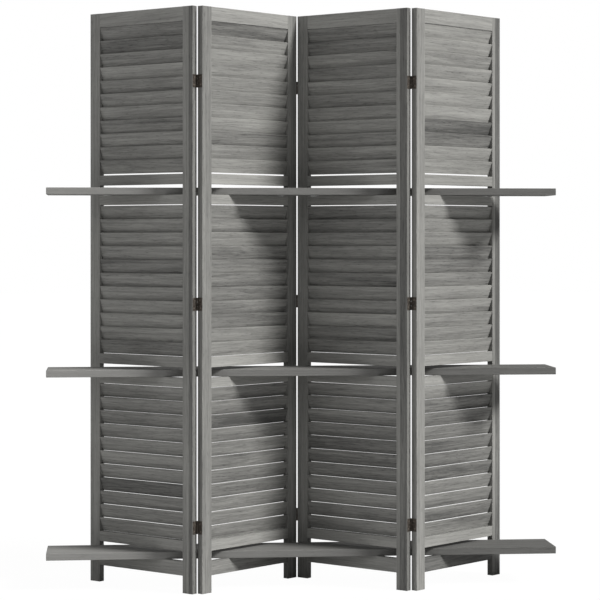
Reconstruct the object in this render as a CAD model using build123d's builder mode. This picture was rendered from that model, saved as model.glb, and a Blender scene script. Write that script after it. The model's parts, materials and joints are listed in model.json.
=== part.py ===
from build123d import *
from math import asin, atan2, cos, degrees, hypot, radians, sin
import os

# Folding screen of louvred panels with long shelf boards pushed through slots in every panel.
# X runs along the screen, the front of the screen looks to -Y, Z is up.

# Overall sizes of one panel
panel_count = 4
panel_width = 399.0
panel_thickness = 19.0
fold_angle = 42.0  # each panel turned from the straight line, in degrees

# Frame of a panel, from the floor up: foot, bottom rail, then for each storey
# a slot for the board, a rail over the slot, the louvres and the rail the next board rests on
storey_count = 3
foot_height = 50.0
bottom_rail_height = 41.3
slot_height = 30.3
head_rail_height = 30.0
louvre_height = 443.4
rest_rail_height = 28.15
top_rail_height = 41.3
stile_width = 37.5
stile_edge_chamfer = 0.4
rail_setback = 0.5

# Mortise and tenon between rails and stiles
tenon_length = 20.0
tenon_thickness = 8.0
tenon_shoulder = 5.0
tenon_clearance = 0.2

# Louvre slats
slat_count = 11
slat_thickness = 4.0
slat_setback = 0.7  # from the flat of the stile's edge to the slat's edges
gaps_under_slats = [0.8, 1.0, 4.2]  # between the lowest slat and its rail, storey by storey
gaps_over_slats = [1.0, 2.2, 1.0]  # lines of light under the rail above
housing_depth = 6.0
housing_clearance = 0.2

# Shelf boards
shelf_length = 1503.5
shelf_depth = 154.0
shelf_thickness = 20.5
shelf_edge_chamfer = 1.0
shelf_lift = 0.3
shelf_back_clearance = 1.5
shelf_shift = 3.0  # the boards lie a little to the right of the centre fold

# Butt hinges
hinge_height = 38.0
hinge_low = 191.0
hinge_spacing = 646.0
hinges_per_joint = 3
leaf_thickness = 0.5
leaf_margin = 1.0
end_gap = 1.2  # between two stiles when the screen is opened flat
knuckle_radius = 1.6
knuckle_count = 3
knuckle_play = 0.3
knuckle_reach = 0.4
pin_radius = 0.8
pin_clearance = 0.05
pin_stand = 0.4

# Heights worked out from the sizes above
storey_height = slot_height + head_rail_height + louvre_height + rest_rail_height
slot_floors = [foot_height + bottom_rail_height + storey_height * k for k in range(storey_count)]
louvre_floors = [z + slot_height + head_rail_height for z in slot_floors]
top_rail_floor = louvre_floors[-1] + louvre_height
screen_height = top_rail_floor + top_rail_height

# Every rail of a panel as its lower face and its height, by kind
bottom_rails = [(foot_height, bottom_rail_height)]
slot_head_rails = [(z + slot_height, head_rail_height) for z in slot_floors]
shelf_rest_rails = [(z - rest_rail_height, rest_rail_height) for z in slot_floors[1:]]
top_rails = [(top_rail_floor, top_rail_height)]
all_rails = bottom_rails + slot_head_rails + shelf_rest_rails + top_rails

# The slats just cover the fullest louvre without a gap. The same slats are spread a little
# closer in the other two. Their rise and the depth between the setbacks fix their tilt.
slat_room = [
    louvre_height - under - over for under, over in zip(gaps_under_slats, gaps_over_slats)
]
slat_rise = max(slat_room) / slat_count
slat_pitches = [(room - slat_rise) / (slat_count - 1) for room in slat_room]
slat_span = panel_thickness - 2 * (stile_edge_chamfer + slat_setback)
slat_tilt = 0.0
for _ in range(12):
    lean = slat_thickness * cos(2 * slat_tilt) / hypot(slat_span, slat_rise)
    slat_tilt = atan2(slat_span, slat_rise) - asin(lean)
slat_width = (slat_rise - slat_thickness * sin(slat_tilt)) / cos(slat_tilt)
slat_length = panel_width - 2 * (stile_width - housing_depth + housing_clearance)

# The pin of a hinge stands one knuckle radius off the panel's face, midway in the end gap
pin_inset = end_gap / 2
pin_offset = panel_thickness / 2 + knuckle_radius
knuckle_height = hinge_height / knuckle_count
leaf_width = panel_thickness - leaf_margin
hinge_centres = [hinge_low + hinge_spacing * k for k in range(hinges_per_joint)]

# Plan of the folded screen. Panels fall and rise in turn along X, and the centre fold is a valley.
turn = radians(fold_angle)
pin_pitch = panel_width + 2 * pin_inset
fold_step_x = pin_pitch * cos(turn) + 2 * pin_offset * sin(turn)
fold_step_y = pin_pitch * sin(turn) - 2 * pin_offset * cos(turn)
front_corner = (pin_inset + panel_width) * sin(turn) - knuckle_radius * cos(turn)
back_corner = (panel_thickness + knuckle_radius) * cos(turn) - pin_inset * sin(turn)
centre_x = -shelf_shift
centre_y = (front_corner - back_corner) / 2


def turned(x, y, angle):
    """Plan point moved by the turn of a panel."""
    return (x * cos(angle) - y * sin(angle), x * sin(angle) + y * cos(angle))


def pin_axis(joint):
    """Plan place of the hinge line after panel 1, 2 or 3; only the middle one is a valley."""
    side = joint - panel_count // 2
    return (centre_x + side * fold_step_x, centre_y - abs(side) * fold_step_y)


def panel_angle(number):
    """Odd panels run forwards along X, even panels run back."""
    return -turn if number % 2 else turn


def panel_plane(number):
    """Plane on the floor: x along the panel from its left end, y to its back face."""
    angle = panel_angle(number)
    middle = panel_count // 2
    right_end = number <= middle
    joint = number if right_end else number - 1
    pin_x, pin_y = pin_axis(joint)
    pin_side = -1 if joint == middle else 1
    along = -(panel_width + pin_inset) if right_end else pin_inset
    step_x, step_y = turned(along, -pin_side * pin_offset, angle)
    return Plane(
        origin=(pin_x + step_x, pin_y + step_y, 0),
        x_dir=(cos(angle), sin(angle), 0),
        z_dir=(0, 0, 1),
    )


def section_plane(number, along):
    """Plane across a panel at a distance from its left end: x to the back face, y up."""
    base = panel_plane(number)
    return Plane(
        origin=base.from_local_coords((along, 0, 0)),
        x_dir=base.y_dir,
        z_dir=base.x_dir,
    )


def slat_centres(storey):
    """Centres of the slats of one louvre, on a plane across the panel."""
    first = louvre_floors[storey] + gaps_under_slats[storey] + slat_rise / 2
    return [(0, first + slat_pitches[storey] * k) for k in range(slat_count)]


def make_stile(number, left):
    """Upright with a slanted housing for each slat and a mortise for each rail."""
    along = stile_width / 2 if left else panel_width - stile_width / 2
    inner_edge = stile_width if left else panel_width - stile_width
    inward = -1 if left else 1
    with BuildPart() as stile:
        with BuildSketch(panel_plane(number)):
            with Locations((along, 0)):
                Rectangle(stile_width, panel_thickness)
        extrude(amount=screen_height)
        chamfer(stile.edges().filter_by(Axis.Z), stile_edge_chamfer)
        with BuildSketch(section_plane(number, inner_edge)):
            for storey in range(storey_count):
                with Locations(*slat_centres(storey)):
                    Rectangle(
                        slat_thickness + 2 * housing_clearance,
                        slat_width + 2 * housing_clearance,
                        rotation=degrees(slat_tilt),
                    )
        extrude(amount=inward * housing_depth, mode=Mode.SUBTRACT)
        with BuildSketch(section_plane(number, inner_edge)):
            for floor, height in all_rails:
                with Locations((0, floor + height / 2)):
                    Rectangle(
                        tenon_thickness + 2 * tenon_clearance,
                        height - 2 * tenon_shoulder + 2 * tenon_clearance,
                    )
        mortise_depth = tenon_length + tenon_clearance
        extrude(amount=inward * mortise_depth, mode=Mode.SUBTRACT)
    return stile


def make_rails(number, rails):
    """Rails of one kind, each with a tenon at both ends."""
    body_length = panel_width - 2 * stile_width
    with BuildPart() as made:
        for floor, height in rails:
            with BuildSketch(section_plane(number, stile_width)):
                with Locations((0, floor + height / 2)):
                    Rectangle(panel_thickness - 2 * rail_setback, height)
            extrude(amount=body_length)
            with BuildSketch(section_plane(number, stile_width - tenon_length)):
                with Locations((0, floor + height / 2)):
                    Rectangle(tenon_thickness, height - 2 * tenon_shoulder)
            extrude(amount=body_length + 2 * tenon_length)
    return made


def make_slats(number, storey):
    """One louvre: parallel slats with square edges, tops forward and bottoms back."""
    start = stile_width - housing_depth + housing_clearance
    with BuildPart() as slats:
        with BuildSketch(section_plane(number, start)):
            with Locations(*slat_centres(storey)):
                Rectangle(slat_thickness, slat_width, rotation=degrees(slat_tilt))
        extrude(amount=slat_length)
    return slats


def make_shelf(slot_floor):
    """Board lying loose on the rails under one row of slots."""
    hinge_y = pin_axis(panel_count // 2)[1]
    back_edge = hinge_y - stile_width - pin_inset - shelf_back_clearance
    with BuildPart() as shelf:
        with BuildSketch(Plane.XY.offset(slot_floor + shelf_lift)):
            with Locations((centre_x + shelf_shift, back_edge - shelf_depth / 2)):
                Rectangle(shelf_length, shelf_depth)
        extrude(amount=shelf_thickness)
        chamfer(shelf.edges(), shelf_edge_chamfer)
    return shelf


def hinge_plane(joint, number, height):
    """Plane at a hinge's foot: x from the pin across the stile's end, y to the stile."""
    pin_x, pin_y = pin_axis(joint)
    pin_side = -1 if joint == panel_count // 2 else 1
    end_side = -1 if number == joint else 1
    across = turned(0, -pin_side, panel_angle(number))
    flip = 1 if pin_side * end_side > 0 else -1
    return Plane(
        origin=(pin_x, pin_y, height),
        x_dir=(across[0], across[1], 0),
        z_dir=(0, 0, flip),
    )


def make_leaves(joint, number):
    """Hinge leaves of one joint on one panel, lying on the stile's end face.

    The middle fold turns on loose pins, which stay square to the boards. In the outer folds
    the pin is riveted in and closed off, so their knuckles are solid.
    """
    own_first = 0 if number == joint else 1
    loose_pin = joint == panel_count // 2
    with BuildPart() as leaves:
        for centre in hinge_centres:
            floor = centre - hinge_height / 2
            base = hinge_plane(joint, number, floor)
            up = base.z_dir.Z
            with BuildSketch(base):
                with Locations((knuckle_radius + knuckle_reach, pin_inset)):
                    Rectangle(
                        leaf_width - knuckle_reach,
                        leaf_thickness,
                        align=(Align.MIN, Align.MAX),
                    )
            extrude(amount=up * hinge_height)
            for k in range(own_first, knuckle_count, 2):
                foot = floor + k * knuckle_height + (knuckle_play / 2 if k else 0)
                trims = (k > 0) + (k < knuckle_count - 1)
                height = knuckle_height - trims * knuckle_play / 2
                with BuildSketch(hinge_plane(joint, number, foot)):
                    Circle(knuckle_radius)
                    with Locations((0, pin_inset)):
                        Rectangle(
                            knuckle_radius + knuckle_reach,
                            leaf_thickness,
                            align=(Align.MIN, Align.MAX),
                        )
                    if loose_pin:
                        Circle(pin_radius + pin_clearance, mode=Mode.SUBTRACT)
                extrude(amount=up * height)
    return leaves


def make_pins(joint):
    """Hinge pins of one joint, standing a little out of the knuckles."""
    pin_x, pin_y = pin_axis(joint)
    with BuildPart() as pins:
        for centre in hinge_centres:
            foot = centre - hinge_height / 2 - pin_stand
            with BuildSketch(Plane.XY.offset(foot)):
                with Locations((pin_x, pin_y)):
                    Circle(pin_radius)
            extrude(amount=hinge_height + 2 * pin_stand)
    return pins


def keep(made, name):
    """Label a finished sub-part and write it out."""
    made.part.label = name
    export_step(made.part, f"parts/{name}.step")


os.makedirs("parts", exist_ok=True)

louvre_names = ["lower", "middle", "upper"]
shelf_names = ["bottom", "middle", "top"]
joint_names = ["left", "centre", "right"]

for number in range(1, panel_count + 1):
    panel = f"panel_{number}"
    keep(make_stile(number, left=True), f"{panel}_left_stile")
    keep(make_stile(number, left=False), f"{panel}_right_stile")
    keep(make_rails(number, top_rails), f"{panel}_top_rail")
    keep(make_rails(number, slot_head_rails), f"{panel}_slot_head_rails")
    keep(make_rails(number, shelf_rest_rails), f"{panel}_shelf_rest_rails")
    keep(make_rails(number, bottom_rails), f"{panel}_bottom_rail")
    for storey, name in enumerate(louvre_names):
        keep(make_slats(number, storey), f"{panel}_slats_{name}")

for name, floor in zip(shelf_names, slot_floors):
    keep(make_shelf(floor), f"shelf_{name}")

for joint in range(1, panel_count):
    name = joint_names[joint - 1]
    keep(make_leaves(joint, joint), f"hinge_{name}_leaves_a")
    keep(make_leaves(joint, joint + 1), f"hinge_{name}_leaves_b")

keep(make_pins(panel_count // 2), "hinge_centre_pins")
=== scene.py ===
import json
import math
import random

import bpy
from mathutils import Matrix, Vector


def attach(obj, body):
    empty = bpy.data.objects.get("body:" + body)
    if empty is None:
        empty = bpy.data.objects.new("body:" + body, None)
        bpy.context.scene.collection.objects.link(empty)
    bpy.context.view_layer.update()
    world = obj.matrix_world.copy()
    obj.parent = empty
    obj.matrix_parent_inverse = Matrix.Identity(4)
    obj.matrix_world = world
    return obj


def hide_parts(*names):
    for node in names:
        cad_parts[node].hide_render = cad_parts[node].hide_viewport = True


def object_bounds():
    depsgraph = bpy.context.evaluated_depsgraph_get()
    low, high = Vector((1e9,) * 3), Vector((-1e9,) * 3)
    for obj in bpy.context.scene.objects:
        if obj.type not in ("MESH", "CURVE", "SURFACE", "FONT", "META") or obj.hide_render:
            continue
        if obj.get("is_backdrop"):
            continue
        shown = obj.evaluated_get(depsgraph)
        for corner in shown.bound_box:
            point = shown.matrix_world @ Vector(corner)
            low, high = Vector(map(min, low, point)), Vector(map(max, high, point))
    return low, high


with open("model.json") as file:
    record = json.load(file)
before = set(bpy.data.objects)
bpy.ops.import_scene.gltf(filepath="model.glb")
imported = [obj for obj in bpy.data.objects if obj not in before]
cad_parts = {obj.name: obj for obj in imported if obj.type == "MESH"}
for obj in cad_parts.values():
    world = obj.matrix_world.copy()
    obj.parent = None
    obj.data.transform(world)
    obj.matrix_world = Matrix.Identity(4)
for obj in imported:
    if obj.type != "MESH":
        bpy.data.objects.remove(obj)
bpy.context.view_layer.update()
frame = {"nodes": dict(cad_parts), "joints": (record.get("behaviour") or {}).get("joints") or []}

# The camera stands six metres in front of the screen and a little over a metre up. It is held
# level, to the left of the middle fold, and turned slightly to the right.
picture_width = 600.0
focal_pixels = 2016.6
horizon_drop = 64.35
sensor_width = 36.0
camera_data = bpy.data.cameras.new("camera")
camera = bpy.data.objects.new("camera", camera_data)
bpy.context.scene.collection.objects.link(camera)
camera_data.sensor_width = sensor_width
camera_data.lens = focal_pixels * sensor_width / picture_width
camera_data.shift_y = -horizon_drop / picture_width
camera_data.clip_start = 0.1
camera_data.clip_end = 60.0
camera.location = (-0.54357, -5.96418, 1.0355)
camera.rotation_euler = (math.radians(90.0), 0.0, -0.090)
bpy.context.scene.camera = camera

# A wide pale floor in a white room. One soft lamp stands well up in front on the right; a
# weak, very wide one stands on the left, and the light of the room fills the rest.
floor_width = 60.0
floor_drop = 0.0005
floor_grey = (0.52, 0.52, 0.52, 1.0)
plain_white = (1.0, 1.0, 1.0, 1.0)
room_white = (1.0, 0.995, 0.99, 1.0)
white_share = 0.95  # of what the camera sees of the floor
floor_glow = 1.03
room_glow = 0.205
bpy.ops.object.select_all(action="DESELECT")
bpy.ops.mesh.primitive_plane_add(size=floor_width, location=(0.0, 0.0, -floor_drop))
floor = bpy.context.active_object
floor.name = "floor"
floor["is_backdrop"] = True
floor_paint = bpy.data.materials.new("floor_paint")
floor_paint.use_nodes = True
nodes, links = floor_paint.node_tree.nodes, floor_paint.node_tree.links
surface = nodes["Principled BSDF"]
surface.inputs["Base Color"].default_value = floor_grey
surface.inputs["Roughness"].default_value = 0.85
glow = nodes.new("ShaderNodeEmission")
glow.inputs["Color"].default_value = plain_white
glow.inputs["Strength"].default_value = floor_glow
seen = nodes.new("ShaderNodeLightPath")
mixed = nodes.new("ShaderNodeMixShader")
share = nodes.new("ShaderNodeMath")
share.operation = "MULTIPLY"
share.inputs[1].default_value = white_share
links.new(seen.outputs["Is Camera Ray"], share.inputs[0])
links.new(share.outputs[0], mixed.inputs["Fac"])
links.new(surface.outputs["BSDF"], mixed.inputs[1])
links.new(glow.outputs["Emission"], mixed.inputs[2])
links.new(mixed.outputs["Shader"], nodes["Material Output"].inputs["Surface"])
floor.data.materials.append(floor_paint)

room = bpy.data.worlds.new("studio")
bpy.context.scene.world = room
room.use_nodes = True
nodes, links = room.node_tree.nodes, room.node_tree.links
fill = nodes["Background"]
fill.inputs["Color"].default_value = room_white
fill.inputs["Strength"].default_value = room_glow
white = nodes.new("ShaderNodeBackground")
white.inputs["Color"].default_value = plain_white
white.inputs["Strength"].default_value = 1.0
seen = nodes.new("ShaderNodeLightPath")
mixed = nodes.new("ShaderNodeMixShader")
links.new(seen.outputs["Is Camera Ray"], mixed.inputs["Fac"])
links.new(fill.outputs["Background"], mixed.inputs[1])
links.new(white.outputs["Background"], mixed.inputs[2])
links.new(mixed.outputs["Shader"], nodes["World Output"].inputs["Surface"])

# Each lamp's turn to the right and rise, in degrees, its power, its colour, and how many
# degrees wide it looks.
lamps = (
    ("key_lamp", 63.0, 37.6, 4.0, (1.0, 0.992, 0.975), 14.0),
    ("fill_lamp", -62.0, 25.0, 0.44, (1.0, 1.0, 1.0), 50.0),
)
for name, turn, rise, power, colour, softness in lamps:
    turn, rise = math.radians(turn), math.radians(rise)
    lamp_data = bpy.data.lights.new(name, "SUN")
    lamp_data.energy = power
    lamp_data.color = colour
    lamp_data.angle = math.radians(softness)
    lamp = bpy.data.objects.new(name, lamp_data)
    bpy.context.scene.collection.objects.link(lamp)
    to_lamp = Vector((math.sin(turn), -math.cos(turn), math.tan(rise)))
    lamp.rotation_euler = to_lamp.to_track_quat("Z", "Y").to_euler()

bpy.context.scene.view_settings.view_transform = "Standard"

# Eight uprights of planed wood with the grain running up them, wiped with a grey stain that
# takes darker in the soft bands of the wood. They are one length, from the top to the floor.


def add_node(tree, kind, **settings):
    """A new shader node with its settings, and with values for its numbered inputs."""
    node = tree.nodes.new(kind)
    for key, value in settings.items():
        if key == "values":
            for socket, number in value.items():
                node.inputs[socket].default_value = number
        else:
            setattr(node, key, value)
    return node


def stretched_noise(tree, vector, cycles, detail, roughness):
    """Noise drawn out along the grain, by its cycles per metre along, across and across."""
    scaled = add_node(tree, "ShaderNodeVectorMath", operation="MULTIPLY", values={1: cycles})
    tree.links.new(vector, scaled.inputs[0])
    noise = add_node(tree, "ShaderNodeTexNoise", values={
        "Scale": 1.0, "Detail": detail, "Roughness": roughness,
    })
    tree.links.new(scaled.outputs[0], noise.inputs["Vector"])
    return noise.outputs["Fac"]


def linear_step(tree, value, low, high, to_low=0.0, to_high=1.0, smooth=False):
    """A value brought from one range to another, clamped at both ends."""
    step = add_node(tree, "ShaderNodeMapRange", values={
        "From Min": low, "From Max": high, "To Min": to_low, "To Max": to_high,
    })
    if smooth:
        step.interpolation_type = "SMOOTHSTEP"
    tree.links.new(value, step.inputs["Value"])
    return step.outputs["Result"]


def combine(tree, operation, first, second):
    """Two values, or a value and a number, joined by a sum or a product."""
    node = add_node(tree, "ShaderNodeMath", operation=operation)
    for socket, part in enumerate((first, second)):
        if isinstance(part, float):
            node.inputs[socket].default_value = part
        else:
            tree.links.new(part, node.inputs[socket])
    return node.outputs[0]


# Cycles per metre along the grain and across it: a slow wander that bends the other patterns,
# the bands of the year rings, the fibres, cloudy patches of stain, and short dark flecks.
wander_cycles = (3.0, 16.0, 16.0)
band_cycles = (1.8, 95.0, 95.0)
fibre_cycles = (12.0, 330.0, 330.0)
cloud_cycles = (1.5, 13.0, 13.0)
fleck_cycles = (45.0, 430.0, 430.0)
wander_reach = 0.011
noise_low, noise_high = 0.30, 0.70
fleck_start, fleck_full = 0.57, 0.68
band_share, fibre_share, cloud_share, fleck_share = 0.30, 0.30, 0.24, 0.16
middle_stain = 0.55
fibre_relief = 0.6
soft_roughness, hard_roughness = 0.72, 0.56

grain = bpy.data.node_groups.new("stained_grain", "ShaderNodeTree")
for name, kind, start in (
    ("Along", "NodeSocketVector", None),
    ("Tone", "NodeSocketFloat", 0.0),
    ("Figure", "NodeSocketFloat", 1.0),
    ("Pale", "NodeSocketColor", (0.36, 0.36, 0.34, 1.0)),
    ("Dark", "NodeSocketColor", (0.14, 0.14, 0.135, 1.0)),
):
    socket = grain.interface.new_socket(name, in_out="INPUT", socket_type=kind)
    if start is not None:
        socket.default_value = start
for name, kind in (("Color", "Color"), ("Height", "Float"), ("Roughness", "Float")):
    grain.interface.new_socket(name, in_out="OUTPUT", socket_type="NodeSocket" + kind)
entry = grain.nodes.new("NodeGroupInput")
leave = grain.nodes.new("NodeGroupOutput")
wander = stretched_noise(grain, entry.outputs["Along"], wander_cycles, 1.0, 0.5)
wander = linear_step(grain, wander, 0.0, 1.0, -wander_reach, wander_reach)
sideways = add_node(grain, "ShaderNodeCombineXYZ")
grain.links.new(wander, sideways.inputs["Y"])
grain.links.new(wander, sideways.inputs["Z"])
bent = add_node(grain, "ShaderNodeVectorMath", operation="ADD")
grain.links.new(entry.outputs["Along"], bent.inputs[0])
grain.links.new(sideways.outputs[0], bent.inputs[1])
bent = bent.outputs[0]
bands = stretched_noise(grain, bent, band_cycles, 5.0, 0.55)
fibres = stretched_noise(grain, bent, fibre_cycles, 4.0, 0.62)
clouds = stretched_noise(grain, entry.outputs["Along"], cloud_cycles, 2.0, 0.5)
flecks = stretched_noise(grain, bent, fleck_cycles, 2.0, 0.5)
bands = linear_step(grain, bands, noise_low, noise_high, -0.5, 0.5)
fibres = linear_step(grain, fibres, noise_low, noise_high, -0.5, 0.5)
clouds = linear_step(grain, clouds, noise_low, noise_high, -0.5, 0.5)
flecks = linear_step(grain, flecks, fleck_start, fleck_full, smooth=True)
figure = combine(grain, "MULTIPLY", bands, band_share)
figure = combine(grain, "ADD", figure, combine(grain, "MULTIPLY", fibres, fibre_share))
figure = combine(grain, "ADD", figure, combine(grain, "MULTIPLY", clouds, cloud_share))
figure = combine(grain, "SUBTRACT", figure, combine(grain, "MULTIPLY", flecks, fleck_share))
figure = combine(grain, "MULTIPLY", figure, entry.outputs["Figure"])
stain = combine(grain, "ADD", figure, middle_stain)
stain = combine(grain, "ADD", stain, entry.outputs["Tone"])
blend = add_node(grain, "ShaderNodeMix", data_type="RGBA")
grain.links.new(stain, blend.inputs["Factor"])
grain.links.new(entry.outputs["Dark"], blend.inputs[6])
grain.links.new(entry.outputs["Pale"], blend.inputs[7])
grain.links.new(blend.outputs[2], leave.inputs["Color"])
relief = combine(grain, "ADD", combine(grain, "MULTIPLY", fibres, fibre_relief), bands)
relief = combine(grain, "SUBTRACT", relief, flecks)
grain.links.new(relief, leave.inputs["Height"])
roughness = linear_step(grain, bands, -0.5, 0.5, soft_roughness, hard_roughness)
grain.links.new(roughness, leave.inputs["Roughness"])


def wood(name, moves, pale, dark, tone, figure, by_piece=False, ramp=None):
    """Stained wood. The moves lay the piece along X. The ramp, from one X to another, brings
    the tone from one value to another after the first move."""
    paint = bpy.data.materials.new(name)
    paint.use_nodes = True
    tree = paint.node_tree
    surface = tree.nodes["Principled BSDF"]
    surface.inputs["Specular IOR Level"].default_value = 0.30
    vector = first = add_node(tree, "ShaderNodeTexCoord").outputs["Object"]
    for count, (shift, turn) in enumerate(moves):
        mapping = add_node(tree, "ShaderNodeMapping", values={"Location": shift, "Rotation": turn})
        tree.links.new(vector, mapping.inputs["Vector"])
        vector = mapping.outputs[0]
        if count == 0:
            first = vector
    look = add_node(tree, "ShaderNodeGroup", node_tree=grain, values={
        "Tone": tone, "Figure": figure, "Pale": (*pale, 1.0), "Dark": (*dark, 1.0),
    })
    if by_piece:
        own = add_node(tree, "ShaderNodeAttribute", attribute_name="cut_from")
        moved = add_node(tree, "ShaderNodeVectorMath", operation="ADD")
        tree.links.new(vector, moved.inputs[0])
        tree.links.new(own.outputs["Vector"], moved.inputs[1])
        vector = moved.outputs[0]
        own = add_node(tree, "ShaderNodeAttribute", attribute_name="stain")
        tree.links.new(combine(tree, "ADD", own.outputs["Fac"], tone), look.inputs["Tone"])
    if ramp:
        parts = add_node(tree, "ShaderNodeSeparateXYZ")
        tree.links.new(first, parts.inputs[0])
        sloped = linear_step(tree, parts.outputs["X"], *ramp)
        tree.links.new(combine(tree, "ADD", sloped, tone), look.inputs["Tone"])
    tree.links.new(vector, look.inputs["Along"])
    bump = add_node(tree, "ShaderNodeBump", values={"Strength": 0.35, "Distance": 0.0006})
    tree.links.new(look.outputs["Height"], bump.inputs["Height"])
    tree.links.new(look.outputs["Color"], surface.inputs["Base Color"])
    tree.links.new(look.outputs["Roughness"], surface.inputs["Roughness"])
    tree.links.new(bump.outputs["Normal"], surface.inputs["Normal"])
    return paint


fold = math.radians(42.0)
panel_numbers = (1, 2, 3, 4)
panel_turn = {n: -fold if n % 2 else fold for n in panel_numbers}
panel_width = 0.399
panel_thickness = 0.019
stile_width = 0.0375
pin_inset = 0.0006
knuckle_radius = 0.0016
pin_offset = panel_thickness / 2 + knuckle_radius
pins = {j["name"]: j["pos_m"] for j in frame["joints"] if j["type"] == "hinge"}


def panel_place(number):
    """The panel's own frame: x from its left end, y from its middle to the back, z up."""
    joint = {1: "left_fold", 2: "centre_fold", 3: "centre_fold", 4: "right_fold"}[number]
    pin_side = -1 if joint == "centre_fold" else 1
    along = -(panel_width + pin_inset) if number <= 2 else pin_inset
    turn = Matrix.Rotation(panel_turn[number], 4, "Z")
    step = turn @ Vector((along, -pin_side * pin_offset, 0.0))
    return Matrix.Translation(Vector((pins[joint][0], pins[joint][1], 0.0)) + step) @ turn


def into_panel(number):
    """The shift and turn that bring a point from the room into the panel's own frame."""
    back = panel_place(number).inverted()
    return tuple(back.translation), (0.0, 0.0, -panel_turn[number])


pale_grey = (0.44, 0.438, 0.417)
dark_grey = (0.090, 0.090, 0.087)
stile_figure = 0.85
upright = ((0.0, 0.0, 0.0), (0.0, math.radians(90.0), 0.0))

# How each stile took the stain. The outer part of each right-hand one is darker: from and to
# which x of the panel the change runs, and the tone before and after it.
stile_tones = {
    (1, "left"): (-0.02, None),
    (1, "right"): (0.00, (0.383, 0.386, 0.0, -0.34)),
    (2, "left"): (-0.22, None),
    (2, "right"): (-0.12, (0.379, 0.382, 0.0, -0.16)),
    (3, "left"): (-0.12, None),
    (3, "right"): (0.00, (0.3735, 0.3755, 0.0, -0.34)),
    (4, "left"): (-0.12, None),
    (4, "right"): (-0.11, (0.3745, 0.3765, 0.0, -0.36)),
}
for (number, side), (tone, ramp) in stile_tones.items():
    post_wood = wood(
        f"stile_wood_{number}_{side}", (into_panel(number), upright),
        pale_grey, dark_grey, tone, stile_figure, ramp=ramp,
    )
    node = frame["nodes"][f"panel_{number}_{side}_stile"]
    node.data.materials.clear()
    node.data.materials.append(post_wood)

# Seven cross pieces in each panel, with the grain across, tenoned into the stiles and glued.
# Their faces lie half a millimetre behind the stiles and their long edges are eased.
rail_setback = 0.0005
rail_ease = 0.0008
rail_body = panel_width - 2 * stile_width
rail_depth = panel_thickness - 2 * rail_setback
tenon_length = 0.020
tenon_depth = 0.008
tenon_shoulder = 0.005
lined_up = 0.9  # the least cosine to an axis of an edge or face that lies along it


def box_start(size, place):
    """A box of this size about this centre, active in object mode and alone selected."""
    bpy.ops.object.select_all(action="DESELECT")
    bpy.ops.mesh.primitive_cube_add(size=1.0, location=place)
    made = bpy.context.active_object
    made.scale = size
    bpy.ops.object.transform_apply(location=True, rotation=False, scale=True)
    return made


def pick(made, mode, chosen):
    """Selects in edit mode the edges or faces that the test chooses."""
    bpy.ops.object.mode_set(mode="EDIT")
    bpy.ops.mesh.select_mode(type=mode)
    bpy.ops.mesh.select_all(action="DESELECT")
    bpy.ops.object.mode_set(mode="OBJECT")
    parts = {"EDGE": made.data.edges, "FACE": made.data.polygons}
    for part in parts[mode]:
        part.select = chosen(part)
    bpy.ops.object.mode_set(mode="EDIT")


def runs_across(made, edge):
    """Whether an edge runs across the panel, along X."""
    first, last = (made.data.vertices[i].co for i in edge.vertices)
    return abs((last - first).normalized().x) > lined_up


def make_rail(low, high):
    """One rail in the panel's own frame, with eased long edges and a tenon at both ends."""
    middle = Vector((panel_width / 2, 0.0, (low + high) / 2))
    rail = box_start((rail_body, rail_depth, high - low), middle)
    pick(rail, "EDGE", lambda edge: runs_across(rail, edge))
    bpy.ops.mesh.bevel(offset=rail_ease, segments=2, affect="EDGES")
    bpy.ops.object.mode_set(mode="OBJECT")
    for way in (-1, 1):
        pick(rail, "FACE", lambda face: face.normal.x * way > lined_up)
        bpy.ops.mesh.extrude_region_move(TRANSFORM_OT_translate={"value": (0.0, 0.0, 0.0)})
        shrink = (1.0, tenon_depth / rail_depth, 1.0 - 2 * tenon_shoulder / (high - low))
        bpy.ops.transform.resize(value=shrink, center_override=middle)
        bpy.ops.mesh.extrude_region_move(
            TRANSFORM_OT_translate={"value": (way * tenon_length, 0.0, 0.0)}
        )
        bpy.ops.object.mode_set(mode="OBJECT")
    return rail


def give_stain(made, cut_from, stain):
    """Notes on the mesh which part of the plank it was cut from and how it took the stain."""
    count = len(made.data.vertices)
    origin = made.data.attributes.new("cut_from", "FLOAT_VECTOR", "POINT")
    origin.data.foreach_set("vector", list(cut_from) * count)
    depth = made.data.attributes.new("stain", "FLOAT", "POINT")
    depth.data.foreach_set("value", [stain] * count)


def join_up(parts, name, place):
    """Joins like parts into one piece, named, moved from the panel's frame to its place."""
    bpy.ops.object.select_all(action="DESELECT")
    for part in parts:
        part.select_set(True)
    bpy.context.view_layer.objects.active = parts[0]
    if len(parts) > 1:
        bpy.ops.object.join()
    made = bpy.context.active_object
    made.name = made.data.name = name
    made.matrix_world = place
    bpy.ops.object.transform_apply(location=True, rotation=True, scale=True)
    return made


def plank(luck):
    """A random spot in the plank that a piece is cut from."""
    return (luck.uniform(-9.0, 9.0), luck.uniform(-0.4, 0.4), luck.uniform(-0.4, 0.4))


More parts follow.
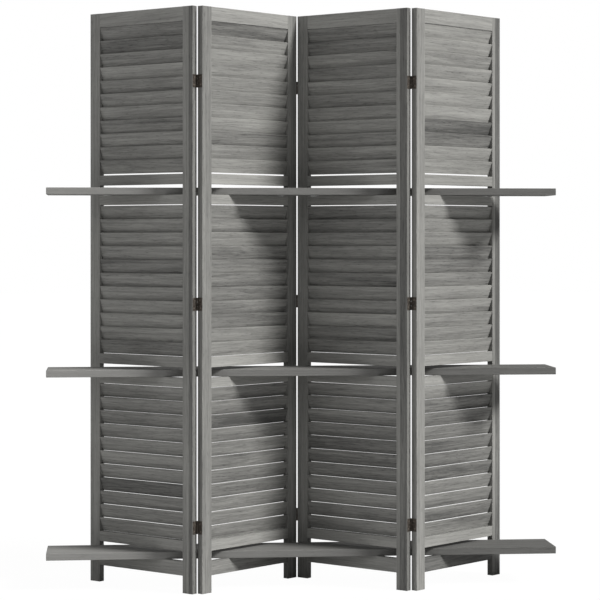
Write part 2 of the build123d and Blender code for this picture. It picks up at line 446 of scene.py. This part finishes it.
# From the floor up: the bottom rail, then three storeys of a slot, the rail over it, a louvre
# and the rail that the next board rests on, with the top rail over the last louvre.
foot_height = 0.050
bottom_rail_height = 0.0413
slot_height = 0.0303
head_rail_height = 0.030
louvre_height = 0.4434
rest_rail_height = 0.02815
top_rail_height = 0.0413
storey_height = slot_height + head_rail_height + louvre_height + rest_rail_height
slot_floors = [foot_height + bottom_rail_height + storey_height * k for k in range(3)]
louvre_floors = [z + slot_height + head_rail_height for z in slot_floors]
top_rail_floor = louvre_floors[-1] + louvre_height
rail_sets = {
    "top_rail": [(top_rail_floor, top_rail_floor + top_rail_height)],
    "slot_head_rails": [(z - head_rail_height, z) for z in louvre_floors],
    "shelf_rest_rails": [(z - rest_rail_height, z) for z in slot_floors[1:]],
    "bottom_rail": [(foot_height, slot_floors[0])],
}
rail_tone = -0.02
rail_figure = 0.85
rail_stain_spread = 0.12
rail_tones = {
    (2, "top_rail"): 0.08, (4, "top_rail"): -0.08, (2, "bottom_rail"): -0.22,
    (4, "bottom_rail"): -0.60,
}
rail_luck = random.Random(7)
for number in panel_numbers:
    rail_wood = wood(
        f"rail_wood_{number}", (into_panel(number),), pale_grey, dark_grey,
        rail_tone, rail_figure, by_piece=True,
    )
    for kind, spans in rail_sets.items():
        rails = []
        for low, high in spans:
            rail = make_rail(low, high)
            stain = rail_luck.uniform(0.0, rail_stain_spread)
            stain += rail_tones.get((number, kind), 0.0)
            give_stain(rail, plank(rail_luck), stain)
            rails.append(rail)
        piece = join_up(rails, f"rails_{number}_{kind}", panel_place(number))
        piece.data.materials.append(rail_wood)
        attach(piece, f"panel_{number}")
        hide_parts(f"panel_{number}_{kind}")

# Eleven thin slats to a louvre and three louvres to a panel. Each slat is ripped from its own
# board, so its colour and figure differ from the next. They sit in slanted housings, tops
# forward, and the stacks in the middle and the top are spread a little closer.
slat_thickness = 0.004
housing_depth = 0.006
housing_clearance = 0.0002
stile_chamfer = 0.0004
slat_setback = 0.0007
slat_ease = 0.00025
slat_lap = 0.0008
slat_length = panel_width - 2 * (stile_width - housing_depth + housing_clearance)
slat_span = panel_thickness - 2 * (stile_chamfer + slat_setback)
slat_count = 11
gaps_under = (0.0008, 0.0010, 0.0042)
gaps_over = (0.0010, 0.0022, 0.0010)
slat_room = [louvre_height - under - over for under, over in zip(gaps_under, gaps_over)]
slat_rise = max(slat_room) / slat_count

# The tilt at which a slat fills both its rise and the depth of the panel, closed in on step
# by step.
slat_tilt = 0.0
for _ in range(12):
    lean = slat_thickness * math.cos(2 * slat_tilt) / math.hypot(slat_span, slat_rise)
    slat_tilt = math.atan2(slat_span, slat_rise) - math.asin(lean)
slat_width = (slat_rise - slat_thickness * math.sin(slat_tilt)) / math.cos(slat_tilt)


def slat_pattern(lap):
    """One slat about the origin, its upper edge raised by the lap, with eased edges."""
    made = box_start((slat_length, slat_thickness, slat_width + lap), (0.0, 0.0, lap / 2))
    rounding = made.modifiers.new("eased_edges", "BEVEL")
    rounding.width = slat_ease
    rounding.segments = 2
    rounding.limit_method = "ANGLE"
    bpy.ops.object.modifier_apply(modifier=rounding.name)
    return made


# Every slat but the uppermost reaches up a little in front of the foot of the next one.
lapping_slat = slat_pattern(slat_lap)
top_slat = slat_pattern(0.0)

# Slats that took the stain much darker or lighter than their neighbours, by panel and louvre,
# counted from the top of the louvre.
odd_slats = {
    (1, "upper"): {2: -0.22, 3: -0.10, 8: -0.15},
    (2, "upper"): {1: -0.42, 9: -0.26, 10: -0.14},
    (3, "upper"): {2: -0.15, 6: -0.18},
    (4, "upper"): {6: 0.08, 8: -0.30, 9: -0.16},
    (1, "middle"): {5: -0.16},
    (2, "middle"): {4: -0.12},
    (3, "middle"): {6: -0.14},
    (4, "middle"): {4: -0.10, 5: -0.22, 7: 0.06, 8: 0.06},
    (1, "lower"): {8: -0.15},
    (2, "lower"): {1: -0.10, 3: -0.24, 7: -0.10},
    (3, "lower"): {5: -0.20},
    (4, "lower"): {1: 0.16, 2: -0.24, 6: -0.10, 7: -0.12},
}
louvre_tones = {
    (1, "upper"): 0.03, (1, "middle"): 0.02, (1, "lower"): -0.03,
    (2, "upper"): 0.02, (2, "middle"): -0.08, (2, "lower"): -0.08,
    (3, "upper"): 0.02, (3, "middle"): -0.10, (3, "lower"): -0.12,
    (4, "upper"): 0.06, (4, "middle"): -0.06, (4, "lower"): -0.16,
}
slat_tone = -0.03
slat_figure = 1.15
slat_stain_spread = 0.10
slat_luck = random.Random(23)
for number in panel_numbers:
    slat_wood = wood(
        f"slat_wood_{number}", (into_panel(number),), pale_grey, dark_grey,
        slat_tone, slat_figure, by_piece=True,
    )
    for level, louvre in enumerate(("lower", "middle", "upper")):
        pitch = (slat_room[level] - slat_rise) / (slat_count - 1)
        first = louvre_floors[level] + gaps_under[level] + slat_rise / 2
        slats = []
        for k in range(slat_count):
            pattern = top_slat if k == slat_count - 1 else lapping_slat
            slat = pattern.copy()
            slat.data = pattern.data.copy()
            bpy.context.scene.collection.objects.link(slat)
            centre = Matrix.Translation((panel_width / 2, 0.0, first + pitch * k))
            slat.data.transform(centre @ Matrix.Rotation(slat_tilt, 4, "X"))
            stain = louvre_tones[number, louvre]
            stain += slat_luck.uniform(-slat_stain_spread, slat_stain_spread)
            stain += odd_slats[number, louvre].get(slat_count - k, 0.0)
            give_stain(slat, plank(slat_luck), stain)
            slats.append(slat)
        piece = join_up(slats, f"slats_{number}_{louvre}", panel_place(number))
        piece.data.materials.append(slat_wood)
        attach(piece, f"panel_{number}")
        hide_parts(f"panel_{number}_slats_{louvre}")
bpy.data.objects.remove(lapping_slat)
bpy.data.objects.remove(top_slat)

# Three loose boards of one piece each, planed smooth, eased on every edge and stained a
# shade darker than the panels, with the grain along them. Their colour is painted lighter
# towards the left as painted light, for the stronger light that falls on their left ends.
board_pale = (0.33, 0.328, 0.318)
board_dark = (0.10, 0.10, 0.096)
board_tone = -0.37
board_figure = 0.45
# Painted light: the tone of the boards rises towards their left ends.
board_painted_light_ramp = (-0.72, 0.42, 0.58, 0.0)
board_wood = wood(
    "board_wood", (), board_pale, board_dark, board_tone, board_figure, ramp=board_painted_light_ramp,
)
for name in ("bottom", "middle", "top"):
    node = frame["nodes"][f"shelf_{name}"]
    node.data.materials.clear()
    node.data.materials.append(board_wood)

# Nine steel butt hinges with a dark bronze finish, three at each fold, screwed to the end
# faces of the stiles. The finish is rubbed lighter in places.
bronze_dark = (0.050, 0.043, 0.037, 1.0)
bronze_light = (0.165, 0.143, 0.122, 1.0)
mottle_cycles = (160.0, 160.0, 160.0)
bronze = bpy.data.materials.new("dark_bronze")
bronze.use_nodes = True
tree = bronze.node_tree
surface = tree.nodes["Principled BSDF"]
surface.inputs["Metallic"].default_value = 0.55
vector = add_node(tree, "ShaderNodeTexCoord").outputs["Object"]
mottle = stretched_noise(tree, vector, mottle_cycles, 4.0, 0.6)
shade = add_node(tree, "ShaderNodeMix", data_type="RGBA", values={
    6: bronze_dark, 7: bronze_light,
})
tree.links.new(linear_step(tree, mottle, 0.35, 0.70), shade.inputs["Factor"])
tree.links.new(shade.outputs[2], surface.inputs["Base Color"])
tree.links.new(linear_step(tree, mottle, 0.3, 0.7, 0.5, 0.36), surface.inputs["Roughness"])
for name, node in frame["nodes"].items():
    if name.startswith("hinge"):
        node.data.materials.clear()
        node.data.materials.append(bronze)

# Two steel wood screws hold each leaf of a hinge to the end of its stile. The slotted heads
# are sunk in the leaf, a hair proud of it, and the driver has rubbed their finish lighter.
head_radius = 0.0021
head_foot_radius = head_radius * 0.7
head_height = 0.0005
head_proud = 0.00008
leaf_thickness = 0.0005
driver_slot_size = (0.0034, 0.0007, 0.0007)
hinge_heights = (0.191, 0.837, 1.483)
screw_spots = ((0.0105, 0.0105), (0.0145, -0.0105))  # in from the pin, and up
bpy.ops.object.select_all(action="DESELECT")
bpy.ops.mesh.primitive_cone_add(
    vertices=24, radius1=head_foot_radius, radius2=head_radius, depth=head_height,
)
head = bpy.context.active_object
head.name = "screw_pattern"
bpy.ops.object.select_all(action="DESELECT")
bpy.ops.mesh.primitive_cube_add(size=1.0, location=(0.0, 0.0, head_height / 2))
driver_slot = bpy.context.active_object
driver_slot.scale = driver_slot_size
bpy.ops.object.transform_apply(location=True, rotation=False, scale=True)
cut = head.modifiers.new("driver_slot", "BOOLEAN")
cut.operation = "DIFFERENCE"
cut.object = driver_slot
bpy.ops.object.select_all(action="DESELECT")
bpy.context.view_layer.objects.active = head
head.select_set(True)
bpy.ops.object.modifier_apply(modifier=cut.name)
bpy.data.objects.remove(driver_slot)

rubbed = bpy.data.materials.new("rubbed_bronze")
rubbed.use_nodes = True
surface = rubbed.node_tree.nodes["Principled BSDF"]
surface.inputs["Base Color"].default_value = (0.27, 0.235, 0.20, 1.0)
surface.inputs["Metallic"].default_value = 0.6
surface.inputs["Roughness"].default_value = 0.38
screw_luck = random.Random(5)
stile_ends = {
    "left": ((1, "right"), (2, "left")),
    "centre": ((2, "right"), (3, "left")),
    "right": ((3, "right"), (4, "left")),
}
for hinge, ends in stile_ends.items():
    pin_side = -1 if hinge == "centre" else 1
    for number, side in ends:
        away = 1 if side == "right" else -1
        end = panel_width if side == "right" else 0.0
        middle = end + away * (leaf_thickness + head_proud - head_height / 2)
        screws = []
        for height in hinge_heights:
            for reach, rise in screw_spots:
                screw = head.copy()
                screw.data = head.data.copy()
                bpy.context.scene.collection.objects.link(screw)
                across = pin_side * (pin_offset - reach)
                spot = Matrix.Translation((middle, across, height + rise))
                aim = Matrix.Rotation(math.radians(90.0 * away), 4, "Y")
                turn = Matrix.Rotation(screw_luck.uniform(0.0, math.pi), 4, "Z")
                screw.data.transform(spot @ aim @ turn)
                screws.append(screw)
        piece = join_up(screws, f"screws_{hinge}_{number}", panel_place(number))
        piece.data.materials.append(rubbed)
        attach(piece, f"panel_{number}")
bpy.data.objects.remove(head)

low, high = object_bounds()
